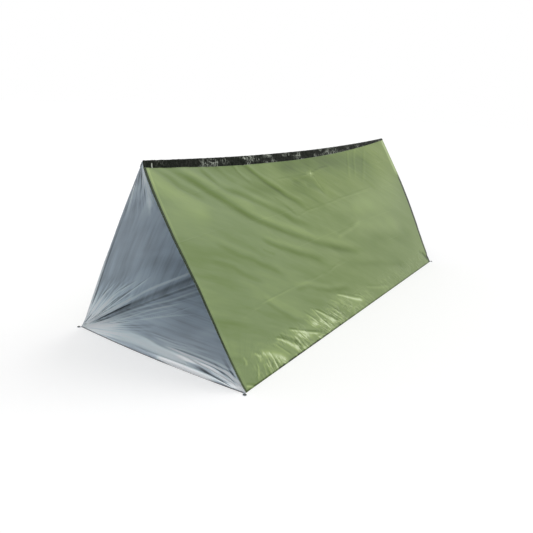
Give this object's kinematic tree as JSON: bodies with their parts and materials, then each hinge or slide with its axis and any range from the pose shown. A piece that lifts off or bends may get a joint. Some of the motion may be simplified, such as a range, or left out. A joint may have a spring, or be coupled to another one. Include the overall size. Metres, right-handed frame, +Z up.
{
  "type": "tube tent",
  "caption": "Ridge-shaped emergency tube tent of thin olive film, silvered inside, open at both ends, with a film floor, a black ridge band, hemmed mouths and corner eyelets; folds flat.",
  "frame": {"origin": "on the ground, under the middle of the tent's floor", "axes": "+Z up, +Y along the ridge from the front mouth to the rear mouth, +X to the right seen from the front mouth"},
  "size_m": [1.028, 2.444, 0.868],
  "materials": {
    "film_green": "semi-gloss thin film, olive green",
    "film_silver": "metallised film, satin silver",
    "hem_dark": "folded film edge, dark olive",
    "band_black": "glossy black film",
    "eyelet_black": "black moulded plastic"
  },
  "bodies": {
    "floor": {"floor_panel": "film_silver", "front_hem_floor": "hem_dark", "rear_hem_floor": "hem_dark", "ear_front_right": "film_green", "ear_front_left": "film_green", "ear_rear_right": "film_green", "ear_rear_left": "film_green", "eyelet_front_right": "eyelet_black", "eyelet_front_left": "eyelet_black", "eyelet_rear_right": "eyelet_black", "eyelet_rear_left": "eyelet_black", "washer_front_right": "eyelet_black", "washer_front_left": "eyelet_black", "washer_rear_right": "eyelet_black", "washer_rear_left": "eyelet_black"},
    "right_lower": {"right_wall_lower": "film_green", "front_hem_right_lower": "hem_dark", "rear_hem_right_lower": "hem_dark"},
    "right_upper": {"right_wall_upper": "film_green", "front_hem_right_upper": "hem_dark", "rear_hem_right_upper": "hem_dark", "ridge_band_right": "band_black"},
    "left_upper": {"left_wall_upper": "film_green", "front_hem_left_upper": "hem_dark", "rear_hem_left_upper": "hem_dark", "ridge_band_left": "band_black"},
    "left_lower": {"left_wall_lower": "film_green", "front_hem_left_lower": "hem_dark", "rear_hem_left_lower": "hem_dark"}
  },
  "joints": [
    {"name": "right_base_fold", "type": "hinge", "parent": "floor", "child": "right_lower", "pos_m": [0.5, 0, 0.00115], "axis": [0, 1, 0], "range_deg": [0, 120]},
    {"name": "right_knee_fold", "type": "hinge", "parent": "right_lower", "child": "right_upper", "pos_m": [0.375, 0, 0.21766], "axis": [0, -1, 0], "range_deg": [0, 170]},
    {"name": "ridge_fold", "type": "hinge", "parent": "right_upper", "child": "left_upper", "pos_m": [0, 0, 0.86718], "axis": [0, 1, 0], "range_deg": [0, 100]},
    {"name": "left_knee_fold", "type": "hinge", "parent": "left_upper", "child": "left_lower", "pos_m": [-0.375, 0, 0.21766], "axis": [0, -1, 0], "range_deg": [0, 170]}
  ],
  "couplings": [
    {"joint": "right_knee_fold", "follows": "right_base_fold", "ratio": 1.4167},
    {"joint": "ridge_fold", "follows": "right_base_fold", "ratio": 0.83333},
    {"joint": "left_knee_fold", "follows": "right_base_fold", "ratio": 1.4167}
  ]
}
